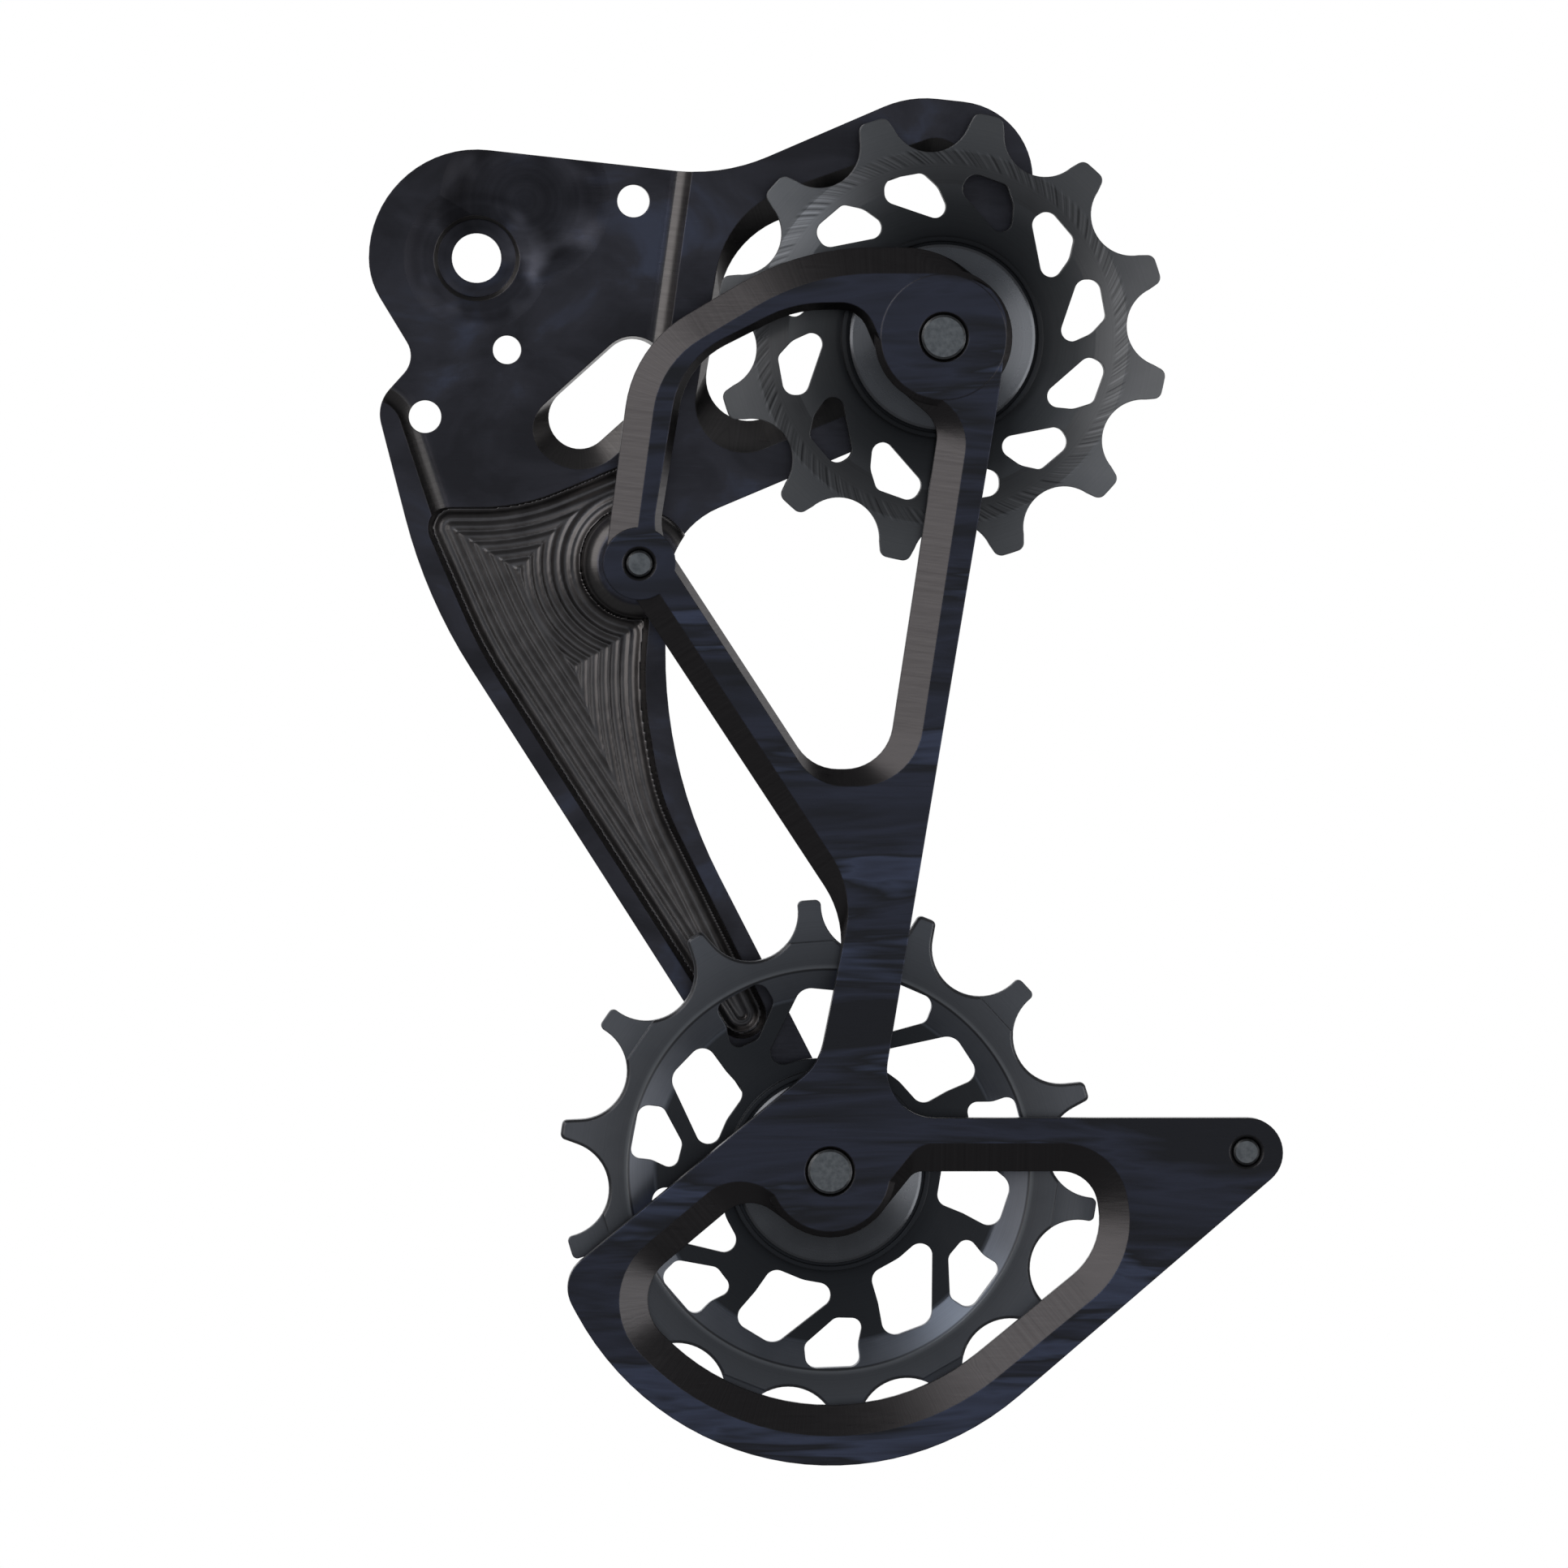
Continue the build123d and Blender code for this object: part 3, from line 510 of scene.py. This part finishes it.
def make_pocket_relief():
    """Closed skin of scallops that lies on the pocket's floor and the foot of its walls."""
    edges = floor_edges()
    low = edges.reshape(-1, 2).min(0) - RELIEF_MARGIN
    high = edges.reshape(-1, 2).max(0) + RELIEF_MARGIN
    xs = np.arange(low[0], high[0], RELIEF_STEP)
    zs = np.arange(low[1], high[1], RELIEF_STEP)
    ground, skin = relief_depths(xs, zs, edges)
    shape = bmesh.new()
    top = {}
    bottom = {}
    for i in range(len(xs) - 1):
        for k in range(len(zs) - 1):
            cell = ((i, k), (i + 1, k), (i + 1, k + 1), (i, k + 1))
            depths = [ground[c] for c in cell]
            if min(depths) == NO_RELIEF or max(depths) - min(depths) > STEEPEST:
                continue
            for c in cell:
                if c not in top:
                    x, z = xs[c[0]], zs[c[1]]
                    top[c] = shape.verts.new((x, -skin[c], z))
                    bottom[c] = shape.verts.new((x, -ground[c] + RELIEF_SINK, z))
            shape.faces.new([top[c] for c in cell]).smooth = True
            shape.faces.new([bottom[c] for c in reversed(cell)])
    pair = {top[c]: bottom[c] for c in top}
    for edge in [e for e in shape.edges if e.is_boundary and e.verts[0] in pair]:
        first, second = edge.verts
        shape.faces.new((first, second, pair[second], pair[first]))
    bmesh.ops.recalc_face_normals(shape, faces=shape.faces)
    mesh = bpy.data.meshes.new("pocket_scallops")
    shape.to_mesh(mesh)
    shape.free()
    mesh.materials.append(pocket_black)
    relief = bpy.data.objects.new("pocket_scallops", mesh)
    bpy.context.scene.collection.objects.link(relief)
    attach(relief, "cage")


make_pocket_relief()


# ---- stage, light and camera ----
FLOOR_RADIUS = 3.0         # its far edge lies below the main view
FLOOR_DROP = 0.25          # distance below the part's lowest point
FLOOR_GLOW = 0.8
SURROUND_SEEN = 1.0        # brightness of the surround behind the part
SURROUND_LIT = 0.10        # brightness of the surround in what the part reflects
WHITE = (1.0, 1.0, 1.0)
WARM = (1.0, 0.97, 0.95)
COOL = (0.80, 0.89, 1.0)
PANELS = [                 # name, direction from the part, distance, width, height, radiance, colour
    ("front_panel", (0.05, -1.0, 0.05), 2.6, 1.1, 1.1, 0.25, COOL),
    ("left_panel", (-0.72, -0.54, 0.40), 1.4, 1.2, 1.5, 1.05, WARM),
    ("right_panel", (0.87, -0.50, -0.10), 1.4, 1.0, 1.2, 1.0, WHITE),
    ("upper_left_panel", (-0.36, -0.87, 0.34), 2.0, 0.5, 0.5, 1.9, COOL),
    ("inner_right_panel", (0.42, -0.90, 0.02), 2.0, 0.4, 0.9, 1.1, WHITE),
    ("back_panel", (0.0, 1.0, 0.1), 1.0, 3.0, 3.0, 0.7, WHITE),
]


def make_stage():
    """Plain pale floor well below the part."""
    mesh = bpy.data.meshes.new("floor")
    shape = bmesh.new()
    bmesh.ops.create_circle(shape, cap_ends=True, segments=96, radius=FLOOR_RADIUS)
    shape.to_mesh(mesh)
    shape.free()
    floor = bpy.data.objects.new("floor", mesh)
    floor.location = (0.0, 0.0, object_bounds()[0][2] - FLOOR_DROP)
    floor.visible_glossy = False
    bpy.context.scene.collection.objects.link(floor)
    material, tree, shader = new_material("floor_white")
    shader.inputs["Base Color"].default_value = (0.93, 0.93, 0.93, 1.0)
    shader.inputs["Roughness"].default_value = 0.9
    shader.inputs["Emission Color"].default_value = (*WHITE, 1.0)
    shader.inputs["Emission Strength"].default_value = FLOOR_GLOW
    mesh.materials.append(material)


def make_panel(name, direction, distance, width, height, radiance, colour):
    """Soft light panel that faces the part from a direction."""
    data = bpy.data.lights.new(name, "AREA")
    data.shape = "RECTANGLE"
    data.size = width
    data.size_y = height
    data.energy = radiance * math.pi * width * height
    data.color = colour
    light = bpy.data.objects.new(name, data)
    away = Vector(direction).normalized()
    light.location = CENTRE + away * distance
    light.rotation_euler = away.to_track_quat("Z", "Y").to_euler()
    light.visible_camera = False
    bpy.context.scene.collection.objects.link(light)


def background(tree, strength, colour):
    """Background shader of one brightness and colour."""
    node = tree.nodes.new("ShaderNodeBackground")
    node.inputs["Strength"].default_value = strength
    node.inputs["Color"].default_value = (*colour, 1.0)
    return node.outputs[0]


def make_world():
    """White studio surround: bright behind the part, dimmer in what the part reflects."""
    world = bpy.data.worlds.new("studio")
    bpy.context.scene.world = world
    world.use_nodes = True
    tree = world.node_tree
    tree.nodes.clear()
    output = tree.nodes.new("ShaderNodeOutputWorld")
    blend = tree.nodes.new("ShaderNodeMixShader")
    path = tree.nodes.new("ShaderNodeLightPath")
    tree.links.new(path.outputs["Is Camera Ray"], blend.inputs["Fac"])
    tree.links.new(background(tree, SURROUND_LIT, (0.96, 0.97, 1.0)), blend.inputs[1])
    tree.links.new(background(tree, SURROUND_SEEN, WHITE), blend.inputs[2])
    tree.links.new(blend.outputs[0], output.inputs[0])


def make_camera():
    """Long lens nearly square to the plates."""
    data = bpy.data.cameras.new("camera")
    data.lens = CAMERA_LENS
    data.sensor_width = SENSOR_WIDTH
    data.clip_end = 50.0
    camera = bpy.data.objects.new("camera", data)
    away = Vector((
        math.sin(CAMERA_AZIMUTH) * math.cos(CAMERA_ELEVATION),
        -math.cos(CAMERA_AZIMUTH) * math.cos(CAMERA_ELEVATION),
        math.sin(CAMERA_ELEVATION),
    ))
    camera.location = CENTRE + away * CAMERA_DISTANCE
    camera.rotation_euler = (-away).to_track_quat("-Z", "Y").to_euler()
    bpy.context.scene.collection.objects.link(camera)
    bpy.context.scene.camera = camera


make_stage()
make_world()
for row in PANELS:
    make_panel(*row)
make_camera()
bpy.context.scene.view_settings.view_transform = "Standard"
